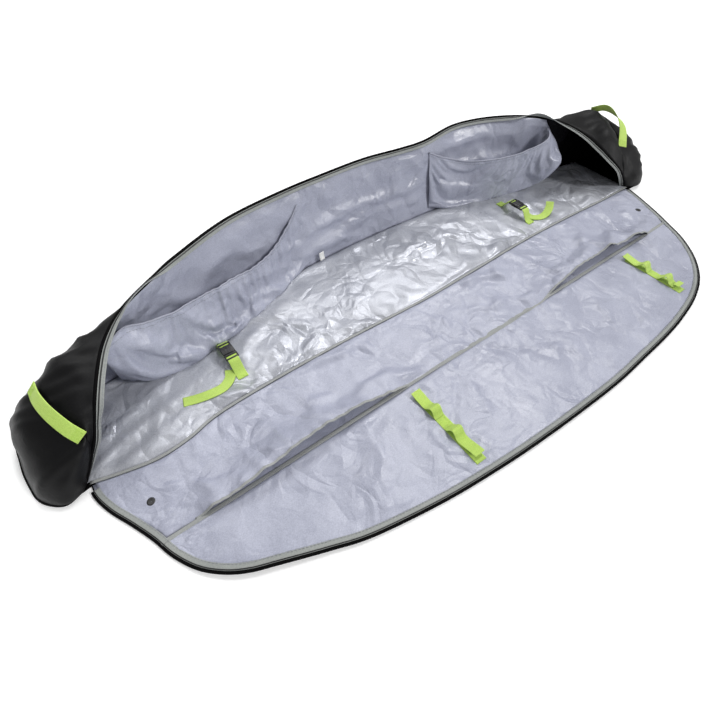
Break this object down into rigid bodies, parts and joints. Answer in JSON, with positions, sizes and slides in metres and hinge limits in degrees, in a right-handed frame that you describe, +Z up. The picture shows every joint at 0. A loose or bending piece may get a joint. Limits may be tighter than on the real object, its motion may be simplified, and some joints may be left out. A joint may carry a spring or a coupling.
{
  "type": "ski bag",
  "caption": "Long padded ski bag lying unzipped with its lid folded out flat, showing a silver floor, stuff pockets, ski straps with buckles and pole straps.",
  "frame": {"origin": "middle of the open bag's bounding box, at floor level", "axes": "+X along the bag towards its right end, +Y from the folded-out lid towards the back wall, +Z up"},
  "size_m": [2, 0.8434, 0.2256],
  "materials": {
    "shell_black": "matte woven polyester",
    "shell_charcoal": "matte woven polyester",
    "lining": "plain nylon taffeta with a soft sheen",
    "silver_film": "metallised film lining, crumpled and glossy",
    "zip_tape": "woven grosgrain tape",
    "zip_coil": "moulded coil, dull black",
    "webbing": "ribbed polyester webbing, lime",
    "buckle": "moulded acetal, satin black",
    "slider_metal": "black painted die casting",
    "foam": "closed-cell padding foam",
    "label": "blank white satin ribbon"
  },
  "bodies": {
    "tray": {"bottom_panel": "shell_black", "floor_foam": "foam", "silver_floor": "silver_film", "floor_binding": "zip_tape", "back_wall_shell": "shell_charcoal", "back_wall_foam": "foam", "back_wall_lining": "lining", "left_hood": "shell_charcoal", "right_hood": "shell_charcoal", "left_end_panel": "shell_black", "right_end_panel": "shell_black", "base_zip_tape": "zip_tape", "base_zip_coil": "zip_coil", "left_stuff_pocket": "lining", "right_stuff_pocket": "lining", "left_pocket_elastic": "lining", "right_pocket_elastic": "lining", "care_label": "label", "left_strap_front": "webbing", "left_strap_tail": "webbing", "left_buckle_male": "buckle", "right_strap_front": "webbing", "right_strap_tail": "webbing", "right_buckle_male": "buckle"},
    "front_wall": {"front_wall_shell": "shell_black", "front_wall_lining": "lining", "mid_seam_binding": "zip_tape", "front_pocket": "lining", "front_pocket_edge": "zip_tape", "left_eyelet": "buckle", "right_eyelet": "buckle", "front_left_tape": "zip_tape", "front_right_tape": "zip_tape", "front_left_coil": "zip_coil", "front_right_coil": "zip_coil"},
    "top_panel": {"top_panel_shell": "shell_black", "top_panel_lining": "lining", "top_zip_tape": "zip_tape", "top_zip_coil": "zip_coil", "left_pole_strap": "webbing", "right_pole_strap": "webbing"},
    "left_strap_half": {"left_buckle_female": "buckle", "left_strap_back": "webbing"},
    "left_slider": {"left_slider": "slider_metal"},
    "left_puller": {"left_puller": "slider_metal"},
    "left_handle": {"left_handle": "webbing"},
    "left_flap_back": {"left_pole_flap_back": "webbing"},
    "left_flap_front": {"left_pole_flap_front": "webbing"},
    "right_strap_half": {"right_buckle_female": "buckle", "right_strap_back": "webbing"},
    "right_slider": {"right_slider": "slider_metal"},
    "right_puller": {"right_puller": "slider_metal"},
    "right_handle": {"right_handle": "webbing"},
    "right_flap_back": {"right_pole_flap_back": "webbing"},
    "right_flap_front": {"right_pole_flap_front": "webbing"}
  },
  "joints": [
    {"name": "front_wall_fold", "type": "hinge", "parent": "tray", "child": "front_wall", "pos_m": [0, 0.0688, 0.0075], "axis": [-1, 0, 0], "range_deg": [0, 98]},
    {"name": "top_panel_fold", "type": "hinge", "parent": "front_wall", "child": "top_panel", "pos_m": [0, -0.1372, 0.0075], "axis": [-1, 0, 0], "range_deg": [0, 80]},
    {"name": "left_slider_run", "type": "slide", "parent": "tray", "child": "left_slider", "axis": [0.2556, 0.1345, 0.9574], "range_m": [0, 0.12]},
    {"name": "left_puller_swing", "type": "hinge", "parent": "left_slider", "child": "left_puller", "pos_m": [-0.89975, 0.06762, 0.03553], "axis": [-0.9662, 0.0359, 0.2554], "range_deg": [0, 150]},
    {"name": "left_handle_flex", "type": "hinge", "parent": "tray", "child": "left_handle", "pos_m": [-0.8894, 0.1688, 0.1598], "axis": [0, 1, 0], "range_deg": [-12, 12], "stiffness_Nm_per_rad": 0.2},
    {"name": "left_buckle_release", "type": "slide", "parent": "tray", "child": "left_strap_half", "axis": [0, 1, 0], "range_m": [0, 0.022]},
    {"name": "left_flap_back_peel", "type": "hinge", "parent": "top_panel", "child": "left_flap_back", "pos_m": [-0.241, -0.2382, 0.0084], "axis": [-1, 0, 0], "range_deg": [-80, 0]},
    {"name": "left_flap_front_peel", "type": "hinge", "parent": "top_panel", "child": "left_flap_front", "pos_m": [-0.241, -0.2702, 0.0084], "axis": [1, 0, 0], "range_deg": [-80, 0]},
    {"name": "right_slider_run", "type": "slide", "parent": "tray", "child": "right_slider", "axis": [-0.2556, 0.1345, 0.9574], "range_m": [0, 0.12]},
    {"name": "right_puller_swing", "type": "hinge", "parent": "right_slider", "child": "right_puller", "pos_m": [0.89975, 0.06762, 0.03553], "axis": [-0.9662, -0.0359, -0.2554], "range_deg": [0, 150]},
    {"name": "right_handle_flex", "type": "hinge", "parent": "tray", "child": "right_handle", "pos_m": [0.8894, 0.1688, 0.1598], "axis": [0, 1, 0], "range_deg": [-12, 12], "stiffness_Nm_per_rad": 0.2},
    {"name": "right_buckle_release", "type": "slide", "parent": "tray", "child": "right_strap_half", "axis": [0, 1, 0], "range_m": [0, 0.022]},
    {"name": "right_flap_back_peel", "type": "hinge", "parent": "top_panel", "child": "right_flap_back", "pos_m": [0.564, -0.2382, 0.0084], "axis": [-1, 0, 0], "range_deg": [-80, 0]},
    {"name": "right_flap_front_peel", "type": "hinge", "parent": "top_panel", "child": "right_flap_front", "pos_m": [0.564, -0.2702, 0.0084], "axis": [1, 0, 0], "range_deg": [-80, 0]}
  ]
}
